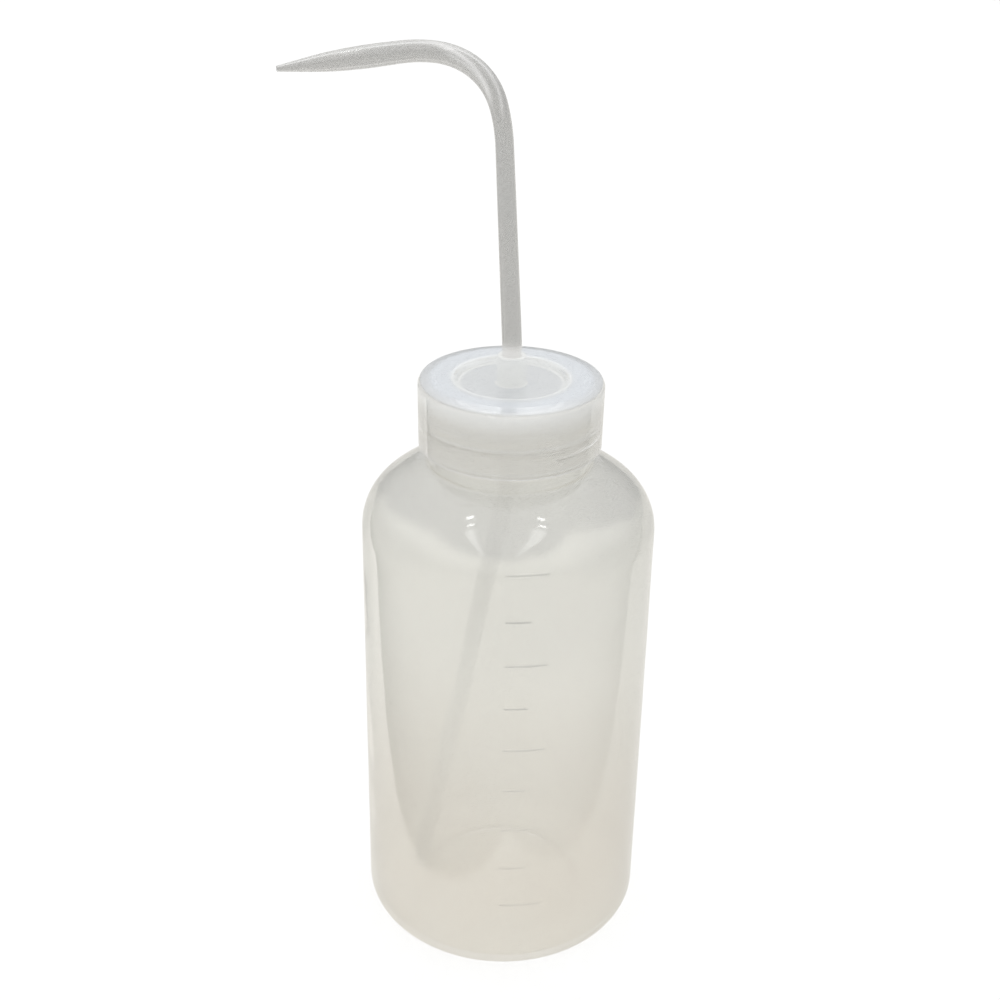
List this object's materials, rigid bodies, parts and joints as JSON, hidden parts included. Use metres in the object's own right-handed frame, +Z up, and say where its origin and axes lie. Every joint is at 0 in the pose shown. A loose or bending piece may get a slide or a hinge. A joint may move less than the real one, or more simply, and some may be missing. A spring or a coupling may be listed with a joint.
{
  "type": "wash bottle",
  "caption": "Squeeze wash bottle in translucent plastic: wide-mouth graduated body, screw cap with boss, seal ring, and a one-piece bent spout with slanted dip leg.",
  "frame": {"origin": "centre of the standing ring under the base, on the axis of the bottle", "axes": "+Z up along the bottle's axis, spout towards -X, graduation marks towards -Y"},
  "size_m": [0.0905, 0.0742, 0.2348],
  "materials": {
    "bottle_ldpe": "milky translucent low-density polyethylene, satin gloss, blow moulded",
    "cap_pp": "milky translucent polypropylene, slightly blue, injection moulded",
    "seal_pe_foam": "soft white closed-cell polyethylene",
    "tube_ldpe": "translucent low-density polyethylene tube, drawn to a jet"
  },
  "bodies": {
    "bottle_body": {"bottle": "bottle_ldpe"},
    "seal_ring": {"cap_seal": "seal_pe_foam"},
    "cap": {"screw_cap": "cap_pp"},
    "tube": {"delivery_tube": "tube_ldpe"}
  },
  "joints": [
    {"name": "cap_lift", "type": "slide", "parent": "bottle_body", "child": "seal_ring", "axis": [0, 0, 1], "range_m": [0, 0.0068]},
    {"name": "cap_turn", "type": "hinge", "parent": "seal_ring", "child": "cap", "pos_m": [0, 0, 0.147], "axis": [0, 0, 1], "range_deg": [0, 720]},
    {"name": "spout_swivel", "type": "hinge", "parent": "cap", "child": "tube", "pos_m": [0, 0, 0.158], "axis": [0, 0, 1], "continuous": true}
  ],
  "couplings": [
    {"joint": "cap_lift", "follows": "cap_turn", "m_per_rad": 0.00054113}
  ]
}
